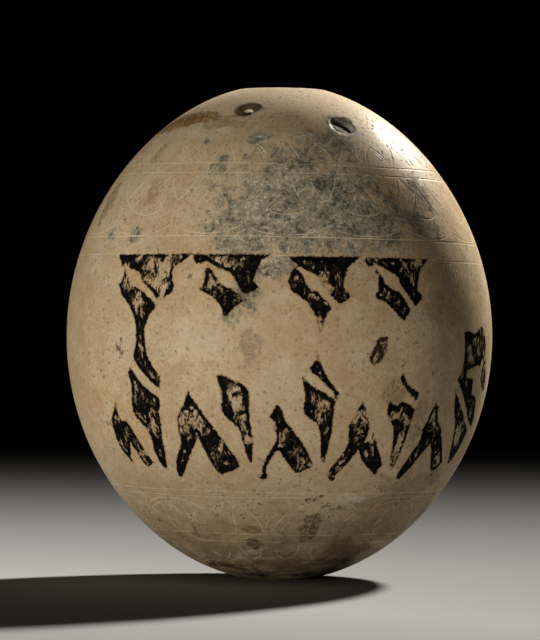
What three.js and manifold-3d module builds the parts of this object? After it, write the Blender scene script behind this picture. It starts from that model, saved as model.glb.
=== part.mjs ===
// A blown ostrich egg made into a small vessel: one thin shell, opened at its upper end,
// rubbed flat in a small spot underneath, and drilled near the opening to fasten a neck.
// Millimetres, +Z up, with the origin in the middle of the flat spot that it stands on.
// Places on the shell are a longitude and a latitude in degrees; longitude 0 faces -Y.
import * as THREE from "three";
import { mergeVertices } from "three/addons/utils/BufferGeometryUtils.js";
import Module from "manifold-3d";

const wasm = await Module();
wasm.setup();

// The whole egg, before it was opened and rubbed flat.
const eggWidth = 130.1;
const eggLength = 152.1;
const upperEndSlimmer = 0.0158;
const bothEndsSlimmer = 0.0411;
const wall = 2;

// What was done to it.
const restRadius = 10;
const rimRadius = 13.4;
const openingRadius = 12;
const boreRadius = 1.8;
const dishRadius = 3.8;
const dishDepth = 1;
const socketRadius = 4.2;
const socketFloorRadius = 3;
const socketDepth = 1.2;
// Two holes go right through, each worn to a dish round its mouth. Two are blind sockets.
const drilled = [
  { longitude: -19.8, latitude: 61.2, through: true },
  { longitude: 29.8, latitude: 54.3, through: false },
  { longitude: 160.2, latitude: 61.2, through: true },
  { longitude: 209.8, latitude: 54.3, through: false },
];

// Three fine lines cut round the shell frame the picture band.
const lineWidth = 0.9;
const lineDepth = 0.25;
const lineLatitudes = [21.3, 17.2, -37.8];

const roundSteps = 72;
const outerSteps = 24;
const innerSteps = 18;
const circleSteps = 20;

const radians = THREE.MathUtils.degToRad;

// The egg's outline: its radius and height at a latitude, and the way straight out of it there.
function eggRadius(latitude) {
  const s = Math.sin(latitude);
  const slimming = 1 - upperEndSlimmer * s - bothEndsSlimmer * s * s;
  return (eggWidth / 2) * Math.cos(latitude) * slimming;
}

function eggHeight(latitude) {
  return (eggLength / 2) * Math.sin(latitude);
}

function outward(latitude) {
  const small = 1e-4;
  const dr = eggRadius(latitude + small) - eggRadius(latitude - small);
  const dz = eggHeight(latitude + small) - eggHeight(latitude - small);
  return new THREE.Vector2(dz, -dr).normalize();
}

// The latitude in the upper or lower half where a curve that shrinks towards the pole has this radius.
function latitudeAt(radius, half, radiusOf) {
  let wide = 0;
  let narrow = Math.PI / 2;
  for (let i = 0; i < 50; i++) {
    const middle = (wide + narrow) / 2;
    if (radiusOf(half * middle) > radius) wide = middle;
    else narrow = middle;
  }
  return half * wide;
}

const restLatitude = latitudeAt(restRadius, -1, eggRadius);
const rimLatitude = latitudeAt(rimRadius, 1, eggRadius);
const middleHeight = -eggHeight(restLatitude);

function outerPoint(latitude) {
  return new THREE.Vector2(eggRadius(latitude), middleHeight + eggHeight(latitude));
}

function innerPoint(latitude) {
  return outerPoint(latitude).addScaledVector(outward(latitude), -wall);
}

// A cut line's edge, bottom and edge, from below upwards.
function lineProfile(latitude) {
  const halfAngle = lineWidth / 2 / (eggLength / 2);
  const bottom = outerPoint(latitude).addScaledVector(outward(latitude), -lineDepth);
  return [outerPoint(latitude - halfAngle), bottom, outerPoint(latitude + halfAngle)];
}

function outerProfile() {
  const lines = lineLatitudes.map(radians);
  const clear = (2 * lineWidth) / eggLength;
  const points = [];
  for (let i = 0; i <= outerSteps; i++) {
    const latitude = THREE.MathUtils.lerp(restLatitude, rimLatitude, i / outerSteps);
    const nearLine = lines.some((line) => Math.abs(line - latitude) < clear);
    if (!nearLine) points.push(outerPoint(latitude));
  }
  lines.forEach((line) => points.push(...lineProfile(line)));
  return points.sort((a, b) => a.y - b.y);
}

function innerProfile() {
  const innerTop = latitudeAt(openingRadius, 1, (latitude) => innerPoint(latitude).x);
  const points = [];
  for (let i = 0; i < innerSteps; i++) {
    points.push(innerPoint(THREE.MathUtils.lerp(innerTop, -Math.PI / 2, i / innerSteps)));
  }
  const floor = innerPoint(-Math.PI / 2);
  points.push(new THREE.Vector2(0, floor.y));
  return points;
}

function shellGeometry() {
  const rimHeight = outerPoint(rimLatitude).y;
  const profile = [
    new THREE.Vector2(0, 0),
    ...outerProfile(),
    new THREE.Vector2(openingRadius, rimHeight),
    ...innerProfile(),
  ];
  const geometry = new THREE.LatheGeometry(profile, roundSteps);
  geometry.rotateX(Math.PI / 2);
  return geometry;
}

// The cutters stand on +Y with the shell's surface at their middle. A hollow is a cone that
// reaches as far above the surface as below it.
function hollow(mouthRadius, floorRadius, depth) {
  const flare = mouthRadius - floorRadius;
  return new THREE.CylinderGeometry(mouthRadius + flare, floorRadius, 2 * depth, circleSteps);
}

function bore() {
  const halfLength = 3 * wall;
  return new THREE.CylinderGeometry(boreRadius, boreRadius, 2 * halfLength, circleSteps);
}

function cuttersFor(spot) {
  if (!spot.through) return [hollow(socketRadius, socketFloorRadius, socketDepth)];
  return [bore(), hollow(dishRadius, boreRadius, dishDepth)];
}

function placeOnShell(geometry, { longitude, latitude }) {
  const across = radians(longitude);
  const up = radians(latitude);
  const spot = outerPoint(up);
  const out = outward(up);
  const round = new THREE.Vector3(Math.sin(across), -Math.cos(across), 0);
  const normal = round.clone().multiplyScalar(out.x).setZ(out.y);
  const place = round.clone().multiplyScalar(spot.x).setZ(spot.y);
  const turn = new THREE.Quaternion().setFromUnitVectors(new THREE.Vector3(0, 1, 0), normal);
  geometry.applyQuaternion(turn);
  geometry.translate(place.x, place.y, place.z);
  return geometry;
}

function solidOf(geometry) {
  const bare = geometry.clone();
  bare.deleteAttribute("normal");
  bare.deleteAttribute("uv");
  const merged = mergeVertices(bare, 1e-4);
  return new wasm.Manifold(
    new wasm.Mesh({
      numProp: 3,
      vertProperties: merged.attributes.position.array,
      triVerts: new Uint32Array(merged.index.array),
    }),
  );
}

function geometryOf(solid) {
  const mesh = solid.getMesh();
  const geometry = new THREE.BufferGeometry();
  geometry.setAttribute("position", new THREE.BufferAttribute(mesh.vertProperties, 3));
  geometry.setIndex(new THREE.BufferAttribute(mesh.triVerts, 1));
  geometry.computeVertexNormals();
  return geometry;
}

function drilledShell() {
  let shell = solidOf(shellGeometry());
  for (const spot of drilled) {
    for (const cutter of cuttersFor(spot)) {
      shell = shell.subtract(solidOf(placeOnShell(cutter, spot)));
    }
  }
  return geometryOf(shell);
}

function shellMaterial() {
  return new THREE.MeshStandardMaterial({ color: 0xc2a882, roughness: 0.55, metalness: 0 });
}

const eggShell = new THREE.Mesh(drilledShell(), shellMaterial());
eggShell.name = "egg_shell";

const ostrichEgg = new THREE.Group();
ostrichEgg.add(eggShell);

export default ostrichEgg;
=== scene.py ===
import random
from bisect import bisect_left
from math import ceil, cos, degrees, hypot, pi, radians, sin, tau

import bpy
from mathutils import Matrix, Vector
from mathutils.geometry import delaunay_2d_cdt
from mathutils.kdtree import KDTree


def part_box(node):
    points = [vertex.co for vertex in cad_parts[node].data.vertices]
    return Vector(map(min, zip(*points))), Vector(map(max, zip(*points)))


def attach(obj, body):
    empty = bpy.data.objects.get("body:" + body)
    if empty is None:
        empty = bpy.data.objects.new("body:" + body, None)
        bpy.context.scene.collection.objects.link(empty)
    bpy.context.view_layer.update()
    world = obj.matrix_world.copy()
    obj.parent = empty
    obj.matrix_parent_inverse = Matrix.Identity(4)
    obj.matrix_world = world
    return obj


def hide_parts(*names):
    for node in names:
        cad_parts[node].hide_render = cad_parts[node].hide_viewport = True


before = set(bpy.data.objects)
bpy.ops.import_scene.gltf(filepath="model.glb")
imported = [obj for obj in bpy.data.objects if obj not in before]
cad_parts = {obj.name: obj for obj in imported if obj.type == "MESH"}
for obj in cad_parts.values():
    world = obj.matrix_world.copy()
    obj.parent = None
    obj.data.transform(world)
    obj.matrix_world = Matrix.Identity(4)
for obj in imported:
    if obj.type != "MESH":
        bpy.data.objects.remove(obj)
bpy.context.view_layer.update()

print("frame loaded:", sorted(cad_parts))

millimetre = 0.001


def newObject(name, data):
    thing = bpy.data.objects.new(name, data)
    bpy.context.collection.objects.link(thing)
    return thing


# View and light
photoView = {
    "distance": 1.145,  # from the lens to the egg's long axis
    "eyeHeight": 0.0726,
    "focalLength": 210.4,
    "filmHeight": 36,
    "lean": -0.41,  # degrees that the picture is turned
    "shiftX": -0.0146,
    "shiftY": 0.0326,
}


def placeCamera():
    camera = newObject("camera", bpy.data.cameras.new("camera"))
    camera.data.sensor_fit = "VERTICAL"
    camera.data.sensor_height = photoView["filmHeight"]
    camera.data.lens = photoView["focalLength"]
    camera.data.shift_x = photoView["shiftX"]
    camera.data.shift_y = photoView["shiftY"]
    camera.data.clip_end = 20
    camera.location = (0, -photoView["distance"], photoView["eyeHeight"])
    camera.rotation_euler = (pi / 2, radians(photoView["lean"]), 0)
    bpy.context.scene.camera = camera


studio = {
    "aim": (0, 0, 0.075),
    "lamps": {
        # name: place, size across, watts, colour, spread in degrees
        "keyBehindRight": ((0.54, 0.86, 0.75), 0.12, 38.0, (1.0, 0.965, 0.905), 168),
        "fillFrontLeft": ((-0.94, -1.17, 0.042), 0.11, 12.4, (1.0, 0.955, 0.875), 160),
        "softTop": ((-0.35, -0.35, 1.3), 0.8, 0.04, (1.0, 0.97, 0.93), 120),
    },
    "airColour": (0.62, 0.64, 0.68),
    "airStrength": 0.0004,
    "floorSize": 16,
    "floorPale": (0.36, 0.354, 0.345),
    # The floor's colour is a painted pool of light: the paper is painted darker to the right and, faster and
    # faster, to the back
    "paintedPoolHere": 0.72,
    "paintedPoolFadeRight": 2.35,
    "paintedPoolFadeBack": 2.8,
    "paintedPoolFadeFarBack": 1.1,
    "floorRoughness": 0.9,
}


def placeLamps():
    aim = Vector(studio["aim"])
    for name, (place, across, watts, colour, spreadAngle) in studio["lamps"].items():
        lamp = bpy.data.lights.new(name, "AREA")
        lamp.shape = "DISK"
        lamp.size = across
        lamp.energy = watts
        lamp.color = colour
        lamp.spread = radians(spreadAngle)
        holder = newObject(name, lamp)
        holder.location = place
        holder.rotation_euler = (aim - Vector(place)).to_track_quat("-Z", "Y").to_euler()
    world = bpy.data.worlds.new("studioAir")
    world.use_nodes = True
    air = world.node_tree.nodes["Background"]
    air.inputs["Color"].default_value = (*studio["airColour"], 1)
    air.inputs["Strength"].default_value = studio["airStrength"]
    bpy.context.scene.world = world
    bpy.context.scene.view_settings.view_transform = "Standard"


def layFloor():
    half = studio["floorSize"] / 2
    corners = [(-half, -half, 0), (half, -half, 0), (half, half, 0), (-half, half, 0)]
    mesh = bpy.data.meshes.new("floor")
    mesh.from_pydata(corners, [], [(0, 1, 2, 3)])
    graph = Graph(newMaterial("floorPaperPaintedPool"))
    x, y, z = graph.parts("ShaderNodeSeparateXYZ", graph.place)
    # Painted pool of light: the paper's colour fades towards black away from the egg, to the right and to the
    # back
    fade = x * -studio["paintedPoolFadeRight"] - y * (y * studio["paintedPoolFadeFarBack"] + studio["paintedPoolFadeBack"])
    pale = graph.calc("MINIMUM", graph.calc("EXPONENT", fade) * studio["paintedPoolHere"], 1)
    paper = graph.blend(pale, (0, 0, 0), studio["floorPale"])
    mesh.materials.append(graph.finish(paper, studio["floorRoughness"], gloss=0))
    newObject("floor", mesh)


def newMaterial(name):
    material = bpy.data.materials.new(name)
    material.use_nodes = True
    return material


class Value:
    # What a node gives. It can be reckoned with: each sign adds a node to its tree
    def __init__(self, graph, socket):
        self.graph = graph
        self.socket = socket

    def __add__(self, other):
        return self.graph.calc("ADD", self, other)

    def __sub__(self, other):
        return self.graph.calc("SUBTRACT", self, other)

    def __rsub__(self, other):
        return self.graph.calc("SUBTRACT", other, self)

    def __mul__(self, other):
        return self.graph.calc("MULTIPLY", self, other)

    def __truediv__(self, other):
        return self.graph.calc("DIVIDE", self, other)

    def ramp(self, low, high, toLow=0, toHigh=1):
        # Moves softly from toLow to toHigh as this value goes from low to high
        plugs = dict(enumerate((self, low, high, toLow, toHigh)))
        return self.graph.add("ShaderNodeMapRange", plugs, interpolation_type="SMOOTHSTEP")


class Graph:
    # Adds nodes to a material's tree or to a Geometry Nodes tree
    def __init__(self, owner):
        self.material = owner if isinstance(owner, bpy.types.Material) else None
        self.tree = owner.node_tree if self.material else owner
        if self.material:
            self.place = self.add("ShaderNodeTexCoord", out="Object")

    def plug(self, socket, value):
        if isinstance(value, Value):
            self.tree.links.new(value.socket, socket)
        elif isinstance(value, tuple) and socket.type == "RGBA":
            socket.default_value = (*value, 1)
        else:
            socket.default_value = value

    def node(self, kind, plugs=None, **settings):
        node = self.tree.nodes.new(kind)
        for name, value in settings.items():
            setattr(node, name, value)
        for name, value in (plugs or {}).items():
            self.plug(node.inputs[name], value)
        return node

    def add(self, kind, plugs=None, out=0, **settings):
        return Value(self, self.node(kind, plugs, **settings).outputs[out])

    def parts(self, kind, whole):
        # The three numbers of a place or a colour
        return [Value(self, socket) for socket in self.node(kind, {0: whole}).outputs]

    def calc(self, operation, *values):
        return self.add("ShaderNodeMath", dict(enumerate(values)), operation=operation)

    def blend(self, amount, under, over, how="MIX"):
        plugs = {0: amount, 6: under, 7: over}
        return self.add("ShaderNodeMix", plugs, 2, data_type="RGBA", blend_type=how)

    def cloud(self, place, size, seed, detail=4, roughness=0.55, warp=0):
        # Soft noise whose lumps are about this many metres across
        plugs = {"Vector": place, "W": seed, "Scale": 1 / size, "Detail": detail}
        plugs.update({"Roughness": roughness, "Distortion": warp})
        return self.add("ShaderNodeTexNoise", plugs, "Fac", noise_dimensions="4D")

    def mapped(self, **change):
        # The place moved, turned or stretched
        return self.add("ShaderNodeMapping", {"Vector": self.place, **change})

    def finish(self, colour, roughness, bump=None, gloss=None):
        plugs = {"Base Color": colour, "Roughness": roughness, "Normal": bump, "Specular IOR Level": gloss}
        shader = self.tree.nodes["Principled BSDF"]
        for name, value in plugs.items():
            if value is not None:
                self.plug(shader.inputs[name], value)
        return self.material


# The egg's rule
boxLow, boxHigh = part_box("egg_shell")
eggRule = {
    "width": boxHigh.x - boxLow.x,
    "height": boxHigh.z - boxLow.z,  # from the flat spot to the cut rim
    "upperEndSlimmer": 0.0158,
    "bothEndsSlimmer": 0.0411,
    "restRadius": 10 * millimetre,
    "rimRadius": 13.4 * millimetre,
    "openingRadius": 12 * millimetre,
    "wall": 2 * millimetre,
    "edgeWear": 0.25 * millimetre,
    "unevenness": 0.12 * millimetre,
    "lumpSize": 1 / 42,
    "seed": 3.7,
    "sharpAngle": 62,
}


def shellRadius(latitude):
    s = sin(radians(latitude))
    slimming = 1 - eggRule["upperEndSlimmer"] * s - eggRule["bothEndsSlimmer"] * s * s
    return eggRule["width"] / 2 * cos(radians(latitude)) * slimming


def latitudeOfRadius(radius, half, radiusOf=shellRadius):
    # Where the upper (half 1) or lower (half -1) end narrows to this radius
    wide, narrow = 0, 90
    for _ in range(50):
        middle = (wide + narrow) / 2
        if radiusOf(half * middle) > radius:
            wide = middle
        else:
            narrow = middle
    return half * wide


restLatitude = latitudeOfRadius(eggRule["restRadius"], -1)
rimLatitude = latitudeOfRadius(eggRule["rimRadius"], 1)
rise = sin(radians(rimLatitude)) - sin(radians(restLatitude))
eggRule["length"] = 2 * eggRule["height"] / rise
eggRule["middle"] = -eggRule["length"] / 2 * sin(radians(restLatitude))


def shellPoint(latitude, height=0):
    # Radius and level of a place on the shell, or this far outside it
    small = 1e-3
    rise = eggRule["length"] / 2 * cos(radians(latitude)) * radians(small) * 2
    shrink = shellRadius(latitude + small) - shellRadius(latitude - small)
    size = hypot(rise, shrink)
    r = shellRadius(latitude) + height * rise / size
    z = eggRule["middle"] + eggRule["length"] / 2 * sin(radians(latitude)) - height * shrink / size
    return r, z


def innerRadius(latitude):
    return shellPoint(latitude, -eggRule["wall"])[0]


openingLatitude = latitudeOfRadius(eggRule["openingRadius"], 1)
innerTopLatitude = latitudeOfRadius(eggRule["openingRadius"], 1, innerRadius)
print("egg", round(eggRule["length"] * 1000, 1), "mm long before it was cut")


# The drawing is laid out on a plane that keeps every shape true: across is the longitude in
# radians, up is a stretched latitude. A millimetre there is one over the shell's radius.
tableStep = 0.25
tableLow = -89.5


def degreeLength(latitude):
    # How far apart two places on the shell are that differ by a degree of latitude
    r1, z1 = shellPoint(latitude - 0.1)
    r2, z2 = shellPoint(latitude + 0.1)
    return hypot(r2 - r1, z2 - z1) / 0.2


upTable = [0.0]
for k in range(int((openingLatitude + 1 - tableLow) / tableStep) + 1):
    middle = tableLow + (k + 0.5) * tableStep
    upTable.append(upTable[-1] + degreeLength(middle) * tableStep / shellRadius(middle))
upShift = upTable[int(-tableLow / tableStep)]
upTable = [up - upShift for up in upTable]


def toPlane(longitude, latitude):
    k = (latitude - tableLow) / tableStep
    i = min(max(int(k), 0), len(upTable) - 2)
    return radians(longitude), upTable[i] + (upTable[i + 1] - upTable[i]) * (k - i)


def fromPlane(across, up):
    i = min(max(bisect_left(upTable, up) - 1, 0), len(upTable) - 2)
    part = (up - upTable[i]) / (upTable[i + 1] - upTable[i])
    return degrees(across), tableLow + (i + part) * tableStep


def radiusAt(up):
    return shellRadius(fromPlane(0, up)[1])


seam = -100  # longitude of the sheet's two joined edges, on the bare stretch at the left
firstAcross = radians(seam)

# The drawing
# Places are longitude and latitude in degrees. Longitude 0 faces the viewer, + is to the right.
marchers = {}
marchers["first"] = {
    "head": -26,
    "overSpear": [
        (-50.4, 17.3), (-24.6, 17.4), (-27.1, 15.7), (-29.3, 14.7), (-29.9, 13.2), (-29.6, 11.5),
        (-28.9, 10.2), (-29, 9), (-30.2, 8.3), (-31.8, 7.2), (-32.9, 7), (-34, 7.5), (-36.3, 9.2),
        (-38.8, 10.9), (-39.6, 11.4), (-40.5, 13), (-42.6, 13.7), (-44.9, 14.2), (-47, 15.6), (-47.3, 14.8),
        (-48.5, 14.6), (-48.9, 15.8), (-50, 16.5),
    ],
    "underSpear": [
        (-47, 14.2), (-45.4, 12.9), (-44.4, 11.4), (-43.8, 10.3), (-42, 10), (-39.3, 9.1), (-37, 7.8),
        (-34.2, 6.1), (-34.1, 5.2), (-35.5, 4.2), (-36.8, 2.4), (-37.4, 0.4), (-37.4, -1.6), (-37.1, -3.4),
        (-36.5, -5.4), (-35.3, -7.5), (-33.6, -9.2), (-32.8, -10), (-33.2, -12.7), (-35.2, -11.7),
        (-37.5, -9.8), (-39.8, -7.8), (-41, -6.3), (-41.3, -5), (-40.5, -3.6), (-40.2, -1.8), (-40.2, 0.6),
        (-40.7, 2.5), (-41.7, 4.1), (-43.1, 5.7), (-44.8, 7.1), (-46.9, 8.2), (-47.1, 9.3), (-48, 10.3),
        (-46.9, 11.6), (-46.7, 12.8),
    ],
    "behindLegs": [
        (-42.9, -8.1), (-41.9, -8.9), (-40.4, -10.5), (-38.9, -11.9), (-36.9, -13.1), (-33.6, -15),
        (-33.8, -16.2), (-34.7, -17.9), (-34.5, -20.2), (-34.9, -22.6), (-35.4, -25.2), (-35.4, -27.6),
        (-36, -30), (-36.5, -31.8), (-37.6, -31.9), (-38.7, -30.2), (-39.4, -27.7), (-39, -25.6),
        (-39.3, -24), (-40.1, -22.2), (-41.6, -20.6), (-43, -19.4), (-43.8, -18), (-43.7, -16),
        (-43.1, -13.8), (-42.9, -11.5), (-43.7, -9.3),
    ],
    "betweenLegs": [
        (-24.7, -13.2), (-23.6, -14.8), (-22.2, -16.5), (-20.4, -18.9), (-18.5, -21.2), (-16.5, -23.8),
        (-14.8, -26), (-13, -28.3), (-11.9, -30), (-11.8, -31.2), (-13.3, -31.9), (-15.2, -32.4),
        (-17.4, -33.2), (-18.5, -33.1), (-19.8, -31.3), (-21, -29.2), (-21.9, -27), (-22.8, -24.7),
        (-23.6, -22.7), (-24.1, -24.6), (-25, -26), (-26.2, -27.5), (-27.6, -29.1), (-29, -31),
        (-30.4, -32.8), (-31.6, -34), (-32.9, -34), (-33.1, -33), (-32.7, -31), (-31.7, -29.1),
        (-30.2, -27), (-28.9, -25.1), (-29.2, -23), (-29, -21), (-28.9, -19.3), (-27.6, -17.7),
        (-26.2, -16), (-25.4, -14.4),
    ],
    "rearLeg": [
        (-50.5, -16), (-50.6, -17.5), (-50.6, -19), (-49.9, -20.2), (-48.2, -20.4), (-47.2, -20.7),
        (-46.2, -21.9), (-45.3, -23.6), (-44, -25.9), (-42.8, -28.3), (-41.4, -30.6), (-42.6, -31.2),
        (-43.8, -31.7), (-45, -31.4), (-46.3, -29.7), (-47.3, -27.6), (-48.5, -25), (-48.8, -26.2),
        (-49.5, -27.7), (-50.7, -29.3), (-50.2, -31.1), (-51.6, -30.3), (-53, -28.8), (-54.2, -27),
        (-54.7, -24.5), (-54.6, -22), (-54.2, -20), (-52.9, -18.6), (-51.5, -17.3),
    ],
}
marchers["second"] = {
    "head": -2,
    "overSpear": [
        (-24.2, 17.3), (-2.6, 17.2), (-4.8, 16), (-5.7, 14.4), (-6.6, 12.7), (-7, 11.4), (-6.2, 10.6),
        (-5.7, 9.9), (-6.2, 9.2), (-7.5, 8.8), (-8.9, 8), (-10, 9.2), (-11.4, 10.8), (-12.4, 12.3),
        (-13.5, 13.2), (-16.8, 14.3), (-20, 15.8), (-21.4, 15.2), (-23, 15.2), (-23.9, 16.1),
    ],
    "underSpear": [
        (-19.5, 14.8), (-18.3, 13.5), (-17, 12), (-15.7, 10.4), (-13.4, 9.6), (-11.2, 8.7), (-9.2, 7.6),
        (-8.4, 6.9), (-9.8, 6.5), (-11.3, 5.7), (-12.6, 4.5), (-13.6, 3.4), (-14.4, 3.3), (-14.9, 4.8),
        (-15.6, 6), (-17, 7.2), (-18.6, 8.1), (-20.2, 8.7), (-21.3, 9.4), (-20.4, 10.3), (-20, 11.8),
        (-20.2, 13.4),
    ],
    "behindLegs": [
        (-16.4, -9.8), (-15.2, -9.3), (-13.2, -10.2), (-11.3, -10.9), (-9.5, -11.6), (-8.2, -12.3),
        (-7.9, -14), (-8, -17), (-7.9, -20), (-7.6, -22.5), (-7.4, -25), (-7.6, -28), (-7.9, -29.9),
        (-8.7, -29.6), (-9.4, -27.8), (-10, -25.5), (-10.5, -23.8), (-10.6, -22.4), (-11.5, -21.2),
        (-12.8, -20.2), (-14.1, -19.4), (-15.2, -18), (-15.5, -16.3), (-15.1, -14.3), (-15.3, -12.5),
        (-16.1, -11.2),
    ],
    "betweenLegs": [
        (-0.4, -16), (0.6, -16.9), (1.2, -18.3), (1.7, -19.8), (3, -21), (4.5, -22.6), (6, -24.2),
        (7.4, -25.9), (8.6, -27.6), (9.9, -29.6), (10.3, -30.8), (8.8, -31.6), (7, -32.2), (5.5, -32.7),
        (4.4, -31.8), (2.9, -30.2), (1.2, -28.3), (0, -26.7), (-0.9, -27.4), (-1.7, -28.5), (-2.7, -29.6),
        (-3.6, -30.9), (-4, -32.2), (-3.4, -33.3), (-3.9, -34.5), (-5, -34.6), (-5.9, -34), (-5, -32.8),
        (-4.8, -31.2), (-4, -29.6), (-3.2, -28.2), (-2, -26.5), (-0.9, -25), (-0.5, -23.6), (-1, -22.3),
        (-1.2, -20.8), (-1.5, -19.7), (-2.3, -18.9), (-1.3, -17.2),
    ],
}
marchers["third"] = {
    "head": 22,
    "overSpear": [
        (2.4, 16.8), (21.9, 16.9), (20.5, 15.8), (18.8, 14.7), (17.9, 13.3), (17.2, 11.8), (17, 10.4),
        (17.5, 9.4), (18.4, 8.6), (18.6, 7.8), (17.3, 6.9), (15.6, 6.3), (13.7, 7.9), (12, 9.7),
        (10.8, 11.4), (10, 12.4), (8.3, 13.2), (6.3, 14), (4.3, 15.1), (2.9, 16),
    ],
    "underSpear": [
        (4, 14.4), (5.2, 13.4), (6.3, 12), (7, 10.5), (8.2, 9.4), (9.8, 8.9), (11.2, 7.7), (12.5, 6.4),
        (13.5, 5.3), (12.6, 4.3), (11.8, 2.9), (11.2, 1.5), (10.5, 0), (10.1, 0.3), (9.9, 1.9), (9.4, 3.5),
        (8.4, 5), (7.2, 6.6), (5.8, 7.6), (4.3, 8.3), (3.3, 9), (2.4, 10.2), (2.1, 11.2), (2.9, 12.8),
        (3.3, 13.9),
    ],
    "byShield": [
        (10, -4.9), (10.4, -6.3), (11.3, -7.8), (12.5, -9.5), (13.8, -11.2), (15.3, -12.8), (16, -13.5),
        (15.6, -14.5), (15.2, -15.4), (14.8, -15), (15, -14), (14.4, -13), (12.8, -11.9), (11.2, -10.6),
        (9.6, -9.4), (7.8, -8.3), (8.4, -7.3), (9.3, -6.3),
    ],
    "behindLegs": [
        (6.1, -9.9), (7.6, -10.9), (9.2, -12.1), (10.8, -12.8), (12.6, -13.6), (14.4, -14.7), (15, -15.2),
        (15, -17), (14.8, -20), (14.8, -23), (14.4, -26), (13.9, -28.3), (13.6, -29.8), (12.9, -29.5),
        (12.3, -27.5), (12, -25), (11.5, -22.5), (10.8, -20.8), (9.8, -19.8), (8.3, -19), (7, -18.2),
        (6.5, -17), (6.8, -15.3), (6.8, -13.3), (6.4, -11.5),
    ],
    "betweenLegs": [
        (22.8, -15.4), (24.1, -17.2), (25.2, -19.5), (26.1, -21.6), (25.6, -23.6), (25.3, -24.9),
        (26.4, -24.7), (27.6, -26.3), (28.4, -27.9), (29.2, -28.7), (28.5, -26.4), (27.7, -24.4),
        (27.3, -22.6), (28.9, -24.9), (30.3, -27), (31.9, -28.9), (33, -30.6), (31.9, -31.9), (32.3, -33.7),
        (30, -32.5), (27.6, -30.9), (25.6, -29.3), (24.4, -28), (23.6, -26.8), (22.5, -28.3), (21, -30.1),
        (19.4, -32), (18, -33.3), (17.7, -34.7), (16.9, -35), (15.8, -34.2), (15.4, -32.8), (16, -31.2),
        (17.3, -29.8), (18.9, -27.8), (20.1, -25.9), (20.2, -24), (19.7, -22.3), (19.7, -20.5),
        (20.8, -18.7), (21.8, -17.1),
    ],
}
marchers["fourth"] = {
    "head": 45.5,
    "overSpear": [
        (23.5, 16.2), (24.2, 16.8), (44.9, 16.7), (42.8, 15.3), (41.3, 14.4), (40.5, 13), (39.8, 11.4),
        (39.2, 10.1), (39.4, 9.1), (40.4, 9.2), (40.5, 7.3), (39.3, 6.9), (38, 6), (36.4, 7.8), (34.8, 9.5),
        (33.8, 10.8), (33.3, 12.3), (32, 13.2), (29.8, 14.1), (27.8, 15), (26, 15.7), (25.6, 14.7),
        (24.4, 14.8), (23.8, 15.6),
    ],
    "underSpear": [
        (26.5, 14.3), (27.6, 13.2), (28.4, 11.8), (29.2, 10.6), (30.3, 9.9), (31.5, 9.6), (32.9, 9.2),
        (34, 8), (35.2, 6.6), (36.4, 5.3), (35.5, 4.1), (34.3, 2.9), (33.2, 3.2), (32, 4.1), (30.6, 5.4),
        (29, 6.4), (27.4, 7.2), (26, 7.4), (25.9, 8.5), (26.9, 9.5), (26.9, 11), (27.2, 12.6), (26.3, 13.6),
    ],
    "byShield": [
        (33.4, -9.9), (34, -9.1), (34.6, -8.8), (35, -9.8), (35.9, -11), (37.3, -12), (38.8, -12.7),
        (40.4, -13.1), (40.3, -14.6), (39.6, -14.9), (38, -14), (36.3, -12.8), (34.7, -11.3),
    ],
    "behindLegs": [
        (31.3, -15.2), (32.2, -16), (33.6, -16.2), (35.2, -15.3), (36.9, -15.7), (38.5, -16.5), (40, -17),
        (39.6, -19), (39.2, -22), (38.9, -25), (38.4, -28), (37.9, -30.3), (37.3, -31.7), (36.3, -31),
        (35.4, -28.8), (34.9, -26), (34.3, -23.6), (33.8, -21.6), (32.5, -20.1), (31.3, -18.6),
        (30.6, -17.2), (30.8, -15.9),
    ],
    "betweenLegs": [
        (48, -15.3), (49.1, -16.8), (49.3, -18.3), (50.5, -20), (52.3, -21.4), (54.1, -23.6), (56.4, -26),
        (58.6, -28.4), (60.8, -30.2), (60, -31.6), (58, -32.4), (56.3, -32.7), (54.6, -31.3), (52.8, -28.9),
        (51.2, -26.8), (49.9, -25.4), (48.8, -26.2), (47.1, -28.5), (45.3, -30.8), (43.7, -32.8),
        (42.1, -34.4), (40.4, -34.3), (40.4, -33.2), (41.4, -30.9), (42.6, -28.5), (43.8, -26.4),
        (44.9, -24.3), (44.6, -22), (45.4, -20.5), (46, -18.8), (46.8, -16.9),
    ],
    "smudge": [
        (24, -5.5), (25, -3.6), (26, -1.7), (26.8, -0.9), (28.8, -0.9), (29.1, -2.6), (28.4, -5),
        (27, -6.4), (25.3, -7), (24.4, -6.7),
    ],
}
marchers["leader"] = {
    "head": 69,
    "cloak": [
        (57.8, 0.2), (59.5, 0.6), (62, 0.4), (63.4, -0.1), (65.4, 0.3), (67.3, 1.4), (69.5, 1.6), (71, 0.8),
        (72.2, -1), (72.9, -3), (73.6, -5), (74.3, -7.5), (75.8, -9.2), (77.4, -12.8), (75.5, -12.9),
        (73, -12), (71, -10.2), (71, -8.2), (71.8, -6.6), (71.5, -5.5), (70, -5.9), (69, -7.4), (66.5, -7),
        (63, -7.8), (60.2, -8.3), (60.5, -9.9), (62.5, -10.1), (65.2, -10.3), (64.9, -11.6), (65.6, -13.9),
        (67.5, -14), (69.8, -14.8), (71.5, -17.1), (73, -19.5), (73.3, -21.6), (69.5, -20.4), (67.2, -19.6),
        (65, -17.5), (62.5, -15.8), (60.5, -14.2), (58, -12.2), (55.8, -10.3), (57.3, -8.5), (58.1, -6),
        (58.3, -3), (57.9, -0.8),
    ],
    "behindLegs": [
        (55.6, -13), (57, -14), (59, -15.6), (61.2, -17.2), (63.2, -18.5), (65.4, -20.1), (67.5, -21.2),
        (70.5, -22.4), (70.3, -24.5), (69.4, -27.2), (68, -29.5), (66.6, -31), (65, -30.6), (63.5, -28.1),
        (62, -25.1), (60.5, -22.1), (59, -19.6), (57.3, -17.9), (56.4, -15.6),
    ],
}

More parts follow.
